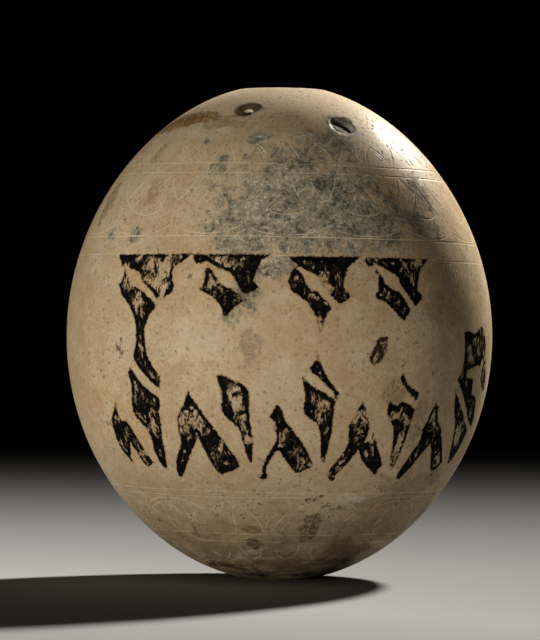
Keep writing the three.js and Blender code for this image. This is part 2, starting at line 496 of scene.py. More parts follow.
# The band goes on round the back with the same marchers: name, and the longitude of the head.
onlyInFront = ("head", "rearLeg", "smudge")
backMarchers = [
    ("second", 114), ("fourth", 137.6), ("first", 161.2), ("third", 184.8),
    ("second", 208.4), ("fourth", 232), ("third", 255.6),
]

# Ring cuts: latitude, width and depth in millimetres. The drawing sits a little askew, so the
# rings dip on the right by this many degrees.
askew = 0.6
rings = [
    (40.6, 0.4, 0.09), (37.9, 0.45, 0.12), (21.35, 0.6, 0.17), (16.95, 0.4, 0.09),
    (-38.1, 0.55, 0.13), (-39.6, 0.4, 0.09), (-52.0, 0.4, 0.09), (-55.1, 0.4, 0.09),
]

# Ornament units as strokes of (degrees from the unit's middle, latitude).
lotusStrokes = [
    [(-6.9, 37.7), (-4.2, 35.3), (-1.4, 32.9)], [(-6, 37.7), (-3.4, 35.5), (-0.7, 33.3)],
    [(-1.3, 33.1), (-3.4, 30.6), (-6.2, 28.3)], [(0.5, 37.7), (1.7, 34.4), (3.8, 31), (6.4, 28.4)],
    [(-6.6, 28.7), (-4.2, 27.5), (-0.8, 26.9), (3, 27.2), (6.6, 28.5)],
    [(-2.8, 37.8), (-0.9, 35.2), (0.4, 37.8)],
    [(-11.6, 24.1), (-8.4, 22.9), (-4.4, 22.1), (0, 21.85), (4.4, 22.1), (8.4, 22.9), (11.6, 24.1)],
    [(-5.6, 41), (-2.7, 44.4), (-0.5, 47.6)], [(5.4, 41), (3, 44.4), (0.6, 47.6)],
]
budStrokes = [
    [(-4.9, 37.4), (-4, 34.6), (-2.2, 32.2), (0.2, 30.4), (1.9, 32), (3.6, 34.4), (4.7, 37.4)],
    [(-5, 41), (-4.2, 43.8), (-2.2, 45.9), (0, 46.9), (2, 45.6), (3.9, 43.4), (4.9, 41)],
    [(0.7, 45.6), (2.5, 43.9), (3.9, 41.7)],
]
lotusMiddles = [-92, -68.5, -45, -21.5, 2, 26, 49.5, 72.5, 96.5, 121, 145.5, 170, 194.5, 219, 243.5]
archStrokes = [
    [(-13.2, -43.8), (-9.6, -41.9), (-5, -40.9), (0, -40.5), (5, -40.9), (9.6, -41.9), (13.2, -43.8)],
    [(-3.6, -41.3), (-4.9, -45), (-5.6, -49), (-5.9, -51.7)],
    [(-2.6, -41.5), (1.4, -44.4), (4.4, -47.8), (6, -51.7)],
    [(-18.6, -43.6), (-22.6, -46.6), (-24.6, -50.2)],
]
archCount = 12
archFirst = -102
cupStrokes = [
    [(-6, -55.5), (-5.8, -58.6), (-3.8, -61.4), (-0.6, -62.9), (2.8, -62), (5, -59.4), (5.4, -55.5)],
]
cupCount = 20
cupFirst = -85.5
# One flower on the left and a few marks are drawn in their own way
ownFlower = -45
ownStrokes = [
    [(-61.2, 37.6), (-61.1, 35.1), (-56.6, 31), (-51.2, 28.2)], [(-51.1, 36.1), (-54.1, 33.5), (-56.5, 31)],
    [(-44.6, 37.9), (-47.5, 33.7), (-51.2, 28.5)], [(-44.4, 36.3), (-41.5, 31.8), (-38.1, 28.3)],
    [(-56.6, 31), (-51.1, 28.1), (-44.9, 26.8), (-40.9, 27.2), (-38.1, 28.3)],
    [(-39.3, 37.6), (-42.3, 34.6), (-45.8, 31.6)],
    [(-60.7, 41.2), (-57.9, 44.6), (-54.9, 46.6), (-50.1, 41.9)],
    [(x + ownFlower, y) for x, y in lotusStrokes[6]],
    [(-37.4, 42), (-34.8, 44.8), (-31.9, 48.2)], [(-13.3, 40.9), (-9.3, 46.6), (-2.9, 41.1)],
    [(-24.4, 37.6), (-21.6, 35.1), (-21.1, 37.6)], [(-3.7, -51.2), (4.7, -42.6)],
    [(0.5, -51.1), (5.1, -45.8)], [(-45.3, -41.3), (-54.1, -43.9), (-48.8, -45.7)],
    [(18.7, -47.6), (17.4, -42.7)], [(-39.1, -42.6), (-37.1, -41.4), (-36.6, -45.3), (-31.1, -49)],
]
fineCut = (0.45, 0.12)  # width and depth of an ornament stroke
faintCut = (0.35, 0.05)  # the shields' and heads' outlines
tallyCut = (0.5, 0.06)
# What still shows of the round shields and heads: radius, middle's latitude, and the arcs' start
# and end in degrees clockwise from the top, for each marcher
shieldArcs = (11.9, -3.7, {"first": (148, 212), "second": (25, 60), "third": (28, 80), "fourth": (12, 128)})
headArcs = (5.3, 11.6, {"fourth": (2, 86), "third": (200, 250)})
plumeStrokes = [
    [(51.6, 16.2), (51.3, 12), (51.9, 7.6)], [(53, 16.2), (52.9, 11.5), (53.2, 6.2)],
    [(54.6, 16.2), (54.7, 11), (54.8, 4.8)], [(56.3, 15.8), (56.2, 10), (56, 3.4)],
    [(58, 15.6), (57.6, 9), (57.2, 2.2)],
]
tallyStrokes = [[(10.9 + k * 0.95, 17.5), (10.95 + k * 0.95, 19.7)] for k in range(7)]

drilled = {
    # name: longitude, latitude, mouth radius, floor radius, depth (millimetres), goes through
    "boreFront": (-19.8, 61.2, 3.8, 1.8, 1.0, True),
    "socketFront": (29.8, 54.3, 4.2, 3.0, 1.2, False),
    "boreBack": (160.2, 61.2, 3.8, 1.8, 1.0, True),
    "socketBack": (209.8, 54.3, 4.2, 3.0, 1.2, False),
}


def smoothStroke(points, step):
    # A rounded path through the listed places, as evenly spaced places on the plane
    plane = [Vector(toPlane(*p)) for p in points]
    ends = [plane[0] * 2 - plane[1]] + plane + [plane[-1] * 2 - plane[-2]]
    path = []
    for i in range(len(plane) - 1):
        a, b, c, d = ends[i : i + 4]
        parts = max(1, ceil((c - b).length * radiusAt((b.y + c.y) / 2) / step))
        for k in range(parts):
            t = k / parts
            straight = b * 2 + (c - a) * t + (a * 2 - b * 5 + c * 4 - d) * t**2
            path.append((straight + (b * 3 - a - c * 3 + d) * t**3) / 2)
    path.append(plane[-1])
    return path


def straightOutline(points, step):
    # The same for a closed outline that keeps its corners
    plane = [Vector(toPlane(*p)) for p in points]
    path = []
    for a, b in zip(plane, plane[1:] + plane[:1]):
        parts = max(1, ceil((b - a).length * radiusAt((a.y + b.y) / 2) / step))
        path.extend(a.lerp(b, k / parts) for k in range(parts))
    return path


def moved(points, shift):
    return [(x + shift, y) for x, y in points]


handRule = {
    "ringSteps": 72,
    "arcSteps": 28,
    "arcSquash": 0.96,
    # How far the hand strays, in degrees, and for a unit's width as a share
    "ringStrays": (0.12, 0.05),
    "unitWidth": 0.06,
    "unitLevel": 0.12,
    "strokePlace": 0.15,
    "seed": 7,
}


def ringStroke(latitude, phase):
    count = handRule["ringSteps"]
    slow, quick = handRule["ringStrays"]
    stroke = []
    for k in range(count + 1):
        turn = tau * k / count
        wander = slow * sin(2 * turn + phase) + quick * sin(5 * turn + 2 * phase)
        stroke.append((seam + 360 * k / count, latitude - askew * sin(turn + firstAcross) + wander))
    return stroke


def arcStroke(middleX, middleY, radius, start, end):
    count = handRule["arcSteps"]
    turns = [radians(start + (end - start) * k / count) for k in range(count + 1)]
    tall = radius * handRule["arcSquash"]
    return [(middleX + radius * sin(t), middleY + tall * cos(t)) for t in turns]


def handDrawn(strokes, middle, hand):
    # One ornament unit, a little narrower or wider and higher or lower than its neighbours
    def stray(key):
        return hand.uniform(-handRule[key], handRule[key])

    width = 1 + stray("unitWidth")
    drop = askew * sin(radians(middle)) + stray("unitLevel")
    return [[(middle + x * width + stray("strokePlace"), y - drop) for x, y in s] for s in strokes]


def collectStrokes():
    # Every engraved stroke as (path in degrees, half width, depth), the last two in metres
    hand = random.Random(handRule["seed"])
    units = []
    for middle, following in zip(lotusMiddles, lotusMiddles[1:] + [lotusMiddles[0] + 360]):
        if middle != ownFlower:
            units += handDrawn(lotusStrokes, middle, hand)
        units += handDrawn(budStrokes, (middle + following) / 2, hand)
    for k in range(archCount):
        units += handDrawn(archStrokes, archFirst + 360 / archCount * k, hand)
    for k in range(cupCount):
        units += handDrawn(cupStrokes, cupFirst + 360 / cupCount * k, hand)
    arcs = []
    heads = [(name, marcher["head"]) for name, marcher in marchers.items()] + backMarchers
    for radius, middle, seen in (shieldArcs, headArcs):
        arcs += [arcStroke(head + 0.4, middle, radius, *seen[name]) for name, head in heads if name in seen]
    cuts = [(ringStroke(latitude, 1.7 * k), w, d) for k, (latitude, w, d) in enumerate(rings)]
    for strokes, cut in (
        (units, fineCut), (arcs, faintCut), (ownStrokes, fineCut), (plumeStrokes, faintCut),
        (tallyStrokes, tallyCut),
    ):
        cuts += [(s, *cut) for s in strokes]
    return [(s, w * millimetre / 2, d * millimetre) for s, w, d in cuts]


def collectPaint():
    outlines = []
    for marcher in marchers.values():
        outlines += [points for name, points in marcher.items() if name != "head"]
    for name, head in backMarchers:
        marcher = marchers[name]
        parts = [points for part, points in marcher.items() if part not in onlyInFront]
        parts = [moved(points, head - marcher["head"]) for points in parts]
        outlines += [points for points in parts if max(points)[0] < seam + 360]  # the rest is worn off
    return outlines


# The flat sheet
sheetRule = {
    "coarse": 2.4 * millimetre,
    "fine": 0.75 * millimetre,
    "alongCut": 1.1 * millimetre,
    "alongPaint": 0.8 * millimetre,
    "beside": 0.42 * millimetre,
    "clearOfCut": 0.65 * millimetre,
    "clearOfPaint": 0.3 * millimetre,
    "fineReach": 1.4 * millimetre,
    "innerCell": 4.0 * millimetre,
    "rimPoints": 120,
    "footPoints": 60,
    "polePoints": 12,
    "holePoints": 40,
    # Round the holes, in the holes' own millimetres
    "collar": 0.7,
    "innerCollar": 1.5,
    "clearOfHole": 0.9,
    "clearOfRow": 0.72 * millimetre,
}


class Sheet:
    # Points, kept edges and marked regions, to be joined into one sheet of triangles
    def __init__(self):
        self.points = []
        self.edges = []
        self.regions = []
        self.boreRings = {}

    def mark(self, numbers):
        # A region is told by its edge, which has to run anticlockwise
        ends = zip(numbers, numbers[1:] + numbers[:1])
        area = sum(self.points[a].cross(self.points[b]) for a, b in ends)
        self.regions.append(numbers if area > 0 else numbers[::-1])

    def add(self, path, closed=False, edges=True):
        first = len(self.points)
        self.points.extend(path)
        numbers = list(range(first, first + len(path)))
        if edges:
            self.edges.extend(zip(numbers, numbers[1:]))
        if closed:
            self.edges.append((numbers[-1], first))
        return numbers

    def join(self):
        out = delaunay_2d_cdt(self.points, self.edges, self.regions, 0, 1e-7, True)
        self.joined = {}
        for new, olds in enumerate(out[3]):
            for old in olds:
                self.joined[old] = new
        return out[0], out[2], out[5]


def ringPath(latitude, count):
    up = toPlane(0, latitude)[1]
    return [Vector((firstAcross + tau * k / count, up)) for k in range(count + 1)]


def holeRing(name, radius):
    longitude, latitude = drilled[name][:2]
    across, up = toPlane(longitude, latitude)
    scale = radius * millimetre / radiusAt(up)
    count = sheetRule["holePoints"]
    turns = [tau * k / count for k in range(count)]
    return [Vector((across + scale * sin(t), up + scale * cos(t))) for t in turns]


def goesRound(path):
    return abs(path[0].x - path[-1].x) > tau - 0.1


def splitAtSeam(path):
    # A path that crosses the seam goes on from the sheet's other edge
    if goesRound(path):
        return [path]
    turns = [(p.x - firstAcross) // tau for p in path]
    pieces = [[path[0] - Vector((turns[0] * tau, 0))]]
    for a, b, turnA, turnB in zip(path, path[1:], turns, turns[1:]):
        if turnA != turnB:
            part = (firstAcross + tau * max(turnA, turnB) - a.x) / (b.x - a.x)
            up = a.y + (b.y - a.y) * part
            left, right = Vector((firstAcross, up)), Vector((firstAcross + tau, up))
            pieces[-1].append(right if turnB > turnA else left)
            pieces.append([left if turnB > turnA else right])
        pieces[-1].append(b - Vector((turnB * tau, 0)))
    return pieces


def nearestTree(places):
    # Finds the nearest of these places, across the seam too
    tree = KDTree(3 * len(places))
    for k, place in enumerate(places):
        for shift in (-tau, 0, tau):
            tree.insert((place[0] + shift, place[1], 0), k)
    tree.balance()
    return tree


def gapTo(tree, point):
    place, index, gap = tree.find((point[0], point[1], 0))
    return gap * radiusAt(point[1]), index


def cover(spacing, lowLatitude, highLatitude):
    # Evenly spread places, row by row, with matching places at the seam's two edges
    latitude = lowLatitude
    row = 0
    while latitude < highLatitude:
        up = toPlane(0, latitude)[1]
        count = max(12, round(tau * shellRadius(latitude) / spacing))
        shift = 0.5 * (row % 2)
        for k in range(count + 1 - row % 2):
            yield Vector((firstAcross + tau * (k + shift) / count, up))
        latitude += 0.866 * spacing / degreeLength(latitude)
        row += 1


def insideOutline(point, outline):
    inside = False
    x, y = point
    ax, ay = outline[-1]
    for bx, by in outline:
        if (ay > y) != (by > y) and x < ax + (bx - ax) * (y - ay) / (by - ay):
            inside = not inside
        ax, ay = bx, by
    return inside


def cutRows(path, halfWidth):
    # Rows of places beside a stroke: its bottom, its two edges, and one more outside each edge
    whole = goesRound(path)
    rows = {0: path, 1: [], -1: [], 2: [], -2: []}
    for k, point in enumerate(path):
        atEnd = k in (0, len(path) - 1)
        if atEnd and not whole:
            continue
        ahead = Vector((1, 0)) if atEnd else path[k + 1] - path[k - 1]
        side = Vector((-ahead.y, ahead.x)).normalized() / radiusAt(point.y)
        for row in (1, -1, 2, -2):
            reach = halfWidth if abs(row) == 1 else sheetRule["beside"]
            rows[row].append(point + side * (reach if row > 0 else -reach))
    return rows


class Drawing:
    # The strokes and painted shapes on the plane, and how near a place is to them
    def __init__(self):
        strokes = collectStrokes()
        self.cuts = [(smoothStroke(s, sheetRule["alongCut"]), w, d) for s, w, d in strokes]
        self.outlines = [straightOutline(p, sheetRule["alongPaint"]) for p in collectPaint()]
        print("drawing:", len(self.cuts), "strokes and", len(self.outlines), "painted shapes")
        self.placeCuts(8, 10)
        self.placePaint(4, 0.03)

    def placeCuts(self, parts, fadeParts):
        # Each step of a stroke in this many parts; a stroke fades out over so many at its ends
        places = []
        self.cutFacts = []
        for path, halfWidth, depth in self.cuts:
            count = (len(path) - 1) * parts
            for k in range(count):
                places.append(path[k // parts].lerp(path[k // parts + 1], k % parts / parts))
                fade = 1 if goesRound(path) else min(1, k / fadeParts, (count - k) / fadeParts)
                self.cutFacts.append((halfWidth, depth, fade))
        self.cutTree = nearestTree(places)

    def placePaint(self, parts, margin):
        places = []
        self.boxes = []
        for outline in self.outlines:
            for a, b in zip(outline, outline[1:] + outline[:1]):
                places += [a.lerp(b, k / parts) for k in range(parts)]
            xs, ys = zip(*outline)
            self.boxes.append((min(xs), max(xs), min(ys), max(ys), outline))
        self.paintTree = nearestTree(places)
        self.lowUp = min(box[2] for box in self.boxes) - margin
        self.highUp = max(box[3] for box in self.boxes) + margin

    def cutAt(self, point):
        gap, index = gapTo(self.cutTree, point)
        halfWidth, depth, fade = self.cutFacts[index]
        near = max(0.0, 1 - gap / halfWidth) * fade
        return near, near * depth

    def isPainted(self, point):
        for left, right, low, high, outline in self.boxes:
            inBox = left < point.x < right and low < point.y < high
            if inBox and insideOutline(point, outline):
                return True
        return False

    def isFine(self, point):
        if not self.lowUp < point.y < self.highUp:
            return False
        return gapTo(self.paintTree, point)[0] < sheetRule["fineReach"] or self.isPainted(point)

    def isClear(self, point):
        if gapTo(self.cutTree, point)[0] < sheetRule["clearOfCut"]:
            return False
        return gapTo(self.paintTree, point)[0] > sheetRule["clearOfPaint"]


def awayFromHoles(point, holes):
    return all((point - middle).length * radiusAt(point.y) > reach for middle, reach in holes)


def addHoles(sheet, radiiOf):
    # Rings of points round each hole; a hole that goes through is a region to leave out
    holes = []
    for name, (longitude, latitude, mouth, floor, depth, through) in drilled.items():
        radii = radiiOf(mouth, floor, through)
        if not radii:
            continue
        for radius in radii:
            ring = sheet.add(holeRing(name, radius), closed=True)
        if through:
            sheet.mark(ring)
        sheet.boreRings[name] = ring
        reach = (radii[0] + sheetRule["clearOfHole"]) * millimetre
        holes.append((Vector(toPlane(longitude, latitude)), reach))
    return holes


def outerRadii(mouth, floor, through):
    radii = [mouth + sheetRule["collar"], mouth, (mouth * 2 + floor) / 3, (mouth + floor * 2) / 3, floor]
    return radii if through else radii + [floor * part for part in (0.8, 0.6, 0.4, 0.2)]


def innerRadii(mouth, floor, through):
    return [floor + sheetRule["innerCollar"], floor] if through else []


def layOuterSheet(drawing):
    sheet = Sheet()
    sheet.add(ringPath(tableLow, sheetRule["polePoints"]))
    sheet.add(ringPath(restLatitude, sheetRule["footPoints"]))
    sheet.add(ringPath(rimLatitude, sheetRule["rimPoints"]))
    sheet.topRing = sheet.add(ringPath(openingLatitude, sheetRule["rimPoints"]))
    for outline in drawing.outlines:
        sheet.mark(sheet.add(outline, edges=False))
    sheet.painted = len(sheet.regions)
    for path, halfWidth, depth in drawing.cuts:
        for row, places in cutRows(path, halfWidth).items():
            for piece in splitAtSeam(places) if len(places) > 1 else []:
                sheet.add(piece, edges=abs(row) < 2)
    holes = addHoles(sheet, outerRadii)
    rows = [toPlane(0, l)[1] for l in (restLatitude, rimLatitude, openingLatitude)]
    for spacing, fine in ((sheetRule["coarse"], False), (sheetRule["fine"], True)):
        for point in cover(spacing, tableLow + 1.5, openingLatitude):
            if fine and not drawing.lowUp < point.y < drawing.highUp:
                continue
            atSeam = min(point.x - firstAcross, firstAcross + tau - point.x) < 1e-5
            nearRow = min(abs(point.y - up) for up in rows) * radiusAt(point.y)
            if nearRow < sheetRule["clearOfRow"] or fine and atSeam:
                continue
            if drawing.isFine(point) != fine or not awayFromHoles(point, holes):
                continue
            if drawing.isClear(point):
                sheet.points.append(point)
    return sheet


def layInnerSheet():
    sheet = Sheet()
    sheet.add(ringPath(tableLow, sheetRule["polePoints"]))
    sheet.topRing = sheet.add(ringPath(innerTopLatitude, sheetRule["rimPoints"]))
    sheet.painted = 0
    holes = addHoles(sheet, innerRadii)
    for point in cover(sheetRule["innerCell"], tableLow + 2.5, innerTopLatitude - 1.2):
        if awayFromHoles(point, holes):
            sheet.points.append(point)
    return sheet


socketDirt = {"most": 0.6, "ridge": 0.06, "ridgeTurns": 7}


def hollowDepth(point):
    # How deep a place lies in a dish or a socket
    for longitude, latitude, mouth, floor, depth, through in drilled.values():
        middle = Vector(toPlane(longitude, latitude))
        gap = (Vector(point) - middle).length * radiusAt(middle.y) / millimetre
        if gap < mouth:
            slope = min(1.0, (mouth - gap) / (mouth - floor))
            if through:
                return depth * slope * millimetre
            # Old dirt is packed against the lower left of a socket, in faint rings
            lean = (middle.x - point[0] + middle.y - point[1]) * radiusAt(middle.y) / millimetre / mouth
            packed = socketDirt["most"] * min(max(lean + 0.5, 0), 1)
            ridge = socketDirt["ridge"] * sin(gap * socketDirt["ridgeTurns"]) if gap < floor else 0
            return (depth * slope * (1 - packed) + ridge) * millimetre
    return 0


class Slab:
    # The whole shell laid flat: x longitude and y latitude in radians, z height in metres
    def __init__(self):
        self.points = []
        self.paint = []
        self.groove = []
        self.faces = []
        self.corners = []
        self.inside = []

    def addPoint(self, place, height, paint=-3, groove=0):
        latitude = fromPlane(0, place[1])[1]
        self.points.append((place[0], radians(latitude), height))
        self.paint.append(paint)
        self.groove.append(groove)
        return len(self.points) - 1

    def addFace(self, numbers, inside, corners):
        self.faces.append(numbers)
        self.inside.append(inside)
        for corner in corners:
            self.corners += corner

    def cornersIn(self, numbers, strip):
        # Strip is a band of the picture: its low and high edge, and the latitudes they stand for
        low, high, lowLatitude, highLatitude = strip
        for number in numbers:
            x, y = self.points[number][:2]
            part = (degrees(y) - lowLatitude) / (highLatitude - lowLatitude)
            yield (x - firstAcross) / tau, low + (high - low) * min(max(part, 0), 1)


outerStrip = (0.15, 0.985, -90, openingLatitude)
innerStrip = (0, 0.115, -90, innerTopLatitude)
rimStrip = (0.985, 1)
boreStrip = (0.13, 0.118)
boreStripStep = 0.015


def addSheet(slab, sheet, inside, drawing=None):
    places, triangles, origins = sheet.join()
    bores = set(range(sheet.painted, len(sheet.regions)))
    painted = set()
    for triangle, regions in zip(triangles, origins):
        if any(region < sheet.painted for region in regions):
            painted.update(triangle)
    numbers = []
    for k, place in enumerate(places):
        if inside:
            numbers.append(slab.addPoint(place, -eggRule["wall"]))
            continue
        near, depth = drawing.cutAt(place)
        gap = min(gapTo(drawing.paintTree, place)[0] / millimetre, 3)
        height = -max(depth, hollowDepth(place))
        numbers.append(slab.addPoint(place, height, gap if k in painted else -gap, near))
    strip = innerStrip if inside else outerStrip
    faces = [t for t, regions in zip(triangles, origins) if bores.isdisjoint(regions)]
    faces = [[numbers[k] for k in triangle] for triangle in faces]
    height = -eggRule["wall"] if inside else 0
    count = sheetRule["polePoints"]
    for k in range(count):
        pole = slab.addPoint((firstAcross + tau * (k + 0.5) / count, 0), height)
        slab.points[pole] = (slab.points[pole][0], -pi / 2, height)
        faces.append([numbers[sheet.joined[k + 1]], numbers[sheet.joined[k]], pole])
    for face in faces:
        face = face[::-1] if inside else face
        slab.addFace(face, inside, slab.cornersIn(face, strip))
    return numbers


def addWalls(slab, outer, outerNumbers, inner, innerNumbers):
    # Joins the two sheets at the opening and in the bores
    rings = [(outer.topRing, inner.topRing, rimStrip, (0, 1, 2, 3))]
    for k, name in enumerate(inner.boreRings):
        strip = [edge + boreStripStep * k for edge in boreStrip]
        rings.append((outer.boreRings[name], inner.boreRings[name], strip, (1, 0, 3, 2)))
    for outerRing, innerRing, (outerEdge, innerEdge), order in rings:
        above = [outerNumbers[outer.joined[number]] for number in outerRing]
        below = [innerNumbers[inner.joined[number]] for number in innerRing]
        count = len(above) - 1 if outerRing is outer.topRing else len(above)
        for k in range(count):
            j = (k + 1) % len(above)
            left, right = k / count, (k + 1) / count
            face = [above[k], above[j], below[j], below[k]]
            corners = [(left, outerEdge), (right, outerEdge), (right, innerEdge), (left, innerEdge)]
            slab.addFace([face[n] for n in order], True, [corners[n] for n in order])


def makeSlab():
    drawing = Drawing()
    slab = Slab()
    outer, inner = layOuterSheet(drawing), layInnerSheet()
    outerNumbers = addSheet(slab, outer, False, drawing)
    print("outer sheet:", len(slab.faces), "triangles")
    innerNumbers = addSheet(slab, inner, True)
    addWalls(slab, outer, outerNumbers, inner, innerNumbers)
    print("whole shell:", len(slab.faces), "faces")
    mesh = bpy.data.meshes.new("eggSlab")
    mesh.from_pydata(slab.points, [], slab.faces)
    for name, kind, domain in (
        ("paint", "FLOAT", "POINT"), ("groove", "FLOAT", "POINT"), ("inside", "BOOLEAN", "FACE"),
    ):
        mesh.attributes.new(name, kind, domain).data.foreach_set("value", getattr(slab, name))
    mesh.uv_layers.new(name="OFBake").uv.foreach_set("vector", slab.corners)
    return mesh


# The slab is wrapped into the egg
def wrapTree(inputs):
    tree = bpy.data.node_groups.new("wrapEgg", "GeometryNodeTree")
    sockets = tree.interface
    sockets.new_socket("Slab", in_out="INPUT", socket_type="NodeSocketGeometry")
    for name, value in inputs.items():
        kind = "NodeSocketFloat" if isinstance(value, float) else "NodeSocketMaterial"
        sockets.new_socket(name, in_out="INPUT", socket_type=kind)
    sockets.new_socket("Egg", in_out="OUTPUT", socket_type="NodeSocketGeometry")
    graph = Graph(tree)
    calc = graph.calc
    given = {socket.name: Value(graph, socket) for socket in graph.node("NodeGroupInput").outputs}
    place = graph.add("GeometryNodeInputPosition")
    longitude, latitude, height = graph.parts("ShaderNodeSeparateXYZ", place)
    s, c = calc("SINE", latitude), calc("COSINE", latitude)
    right, back = calc("SINE", longitude), calc("COSINE", longitude) * -1
    upper, both = given["Upper end slimmer"], given["Both ends slimmer"]
    halfWidth, halfLength = given["Width"] * 0.5, given["Length"] * 0.5
    slim = upper * s * -1 - both * s * s + 1
    radius = halfWidth * c * slim
    level = halfLength * s + given["Middle height"]

    def around(r, z):
        return graph.add("ShaderNodeCombineXYZ", {0: r * right, 1: r * back, 2: z})

    # How the radius and the level change with latitude give the way straight out
    drop = halfWidth * (s * slim + c * c * (upper + both * s * 2))
    rise = halfLength * c
    size = calc("SQRT", drop * drop + rise * rise)
    lumps = graph.cloud(around(radius, level), eggRule["lumpSize"], given["Seed"], 2, 0.5)
    lift = height - lumps * given["Unevenness"]
    z = calc("SMOOTH_MIN", lift * (drop / size) + level, given["Rim level"], given["Edge wear"])
    z = calc("SMOOTH_MAX", z, 0, given["Edge wear"])
    wrapped = around(lift * (rise / size) + radius, z)
    egg = graph.add("GeometryNodeSetPosition", {"Geometry": given["Slab"], "Position": wrapped})
    egg = graph.add("GeometryNodeMergeByDistance", {"Geometry": egg, "Distance": 2e-6})
    egg = graph.add("GeometryNodeRealizeInstances", {"Geometry": egg})
    egg = graph.add("GeometryNodeSetMaterial", {"Geometry": egg, "Material": given["Outside"]})
    isInside = graph.add("GeometryNodeInputNamedAttribute", {"Name": "inside"}, data_type="BOOLEAN")
    plugs = {"Geometry": egg, "Selection": isInside, "Material": given["Inside"]}
    graph.node("NodeGroupOutput", {0: graph.add("GeometryNodeSetMaterial", plugs)})
    return tree


def makeEgg(outsideMaterial, insideMaterial):
    egg = newObject("ostrichEggshell", makeSlab())
    inputs = {
        "Width": eggRule["width"],
        "Length": eggRule["length"],
        "Middle height": eggRule["middle"],
        "Upper end slimmer": eggRule["upperEndSlimmer"],
        "Both ends slimmer": eggRule["bothEndsSlimmer"],
        "Rim level": eggRule["height"],
        "Edge wear": eggRule["edgeWear"],
        "Unevenness": eggRule["unevenness"],
        "Seed": eggRule["seed"],
        "Outside": outsideMaterial,
        "Inside": insideMaterial,
    }
    wrap = egg.modifiers.new("wrap", "NODES")
    wrap.node_group = wrapTree(inputs)
    for item in wrap.node_group.interface.items_tree:
        if item.name in inputs:
            wrap[item.identifier] = inputs[item.name]
    evaluated = egg.evaluated_get(bpy.context.evaluated_depsgraph_get())
    mesh = bpy.data.meshes.new_from_object(evaluated)
    egg.modifiers.clear()
    egg.data = mesh
    mesh.shade_smooth()
    mesh.set_sharp_from_angle(angle=radians(eggRule["sharpAngle"]))
    mesh.name = "ostrichEggshell"
    print("egg wrapped:", len(mesh.vertices), "points,", len(mesh.polygons), "faces")
    return egg


# Materials
shellLooks = {
    "tan": (0.48, 0.365, 0.225),
    "pale": (0.58, 0.465, 0.31),
    "warm": (0.46, 0.31, 0.16),
    "grey": (0.34, 0.275, 0.19),
    "cream": (0.74, 0.60, 0.41),
    # The crown's colour is partly its own paler tone and partly painted light from above
    "crownPaleAndLit": (0.66, 0.53, 0.37),
    # Dirt at the foot, which also stands in for painted shade on the lower part
    "footDirtAndShade": (0.115, 0.085, 0.048),
    "smear": (0.13, 0.085, 0.04),
    "speck": (0.06, 0.042, 0.024),
    "paint": (0.0045, 0.0042, 0.004),
    "paintBrown": (0.05, 0.032, 0.016),
    "film": (0.20, 0.125, 0.06),
    "halo": (0.24, 0.135, 0.055),
    "depositOchre": (0.28, 0.21, 0.12),
    "depositGrey": (0.27, 0.245, 0.175),
    "depositBlack": (0.06, 0.055, 0.04),
    "depositWhite": (0.62, 0.59, 0.52),
    "roughness": (0.31, 0.41),
    "insidePale": (0.60, 0.50, 0.36),
    "insideDust": (0.30, 0.225, 0.14),
}
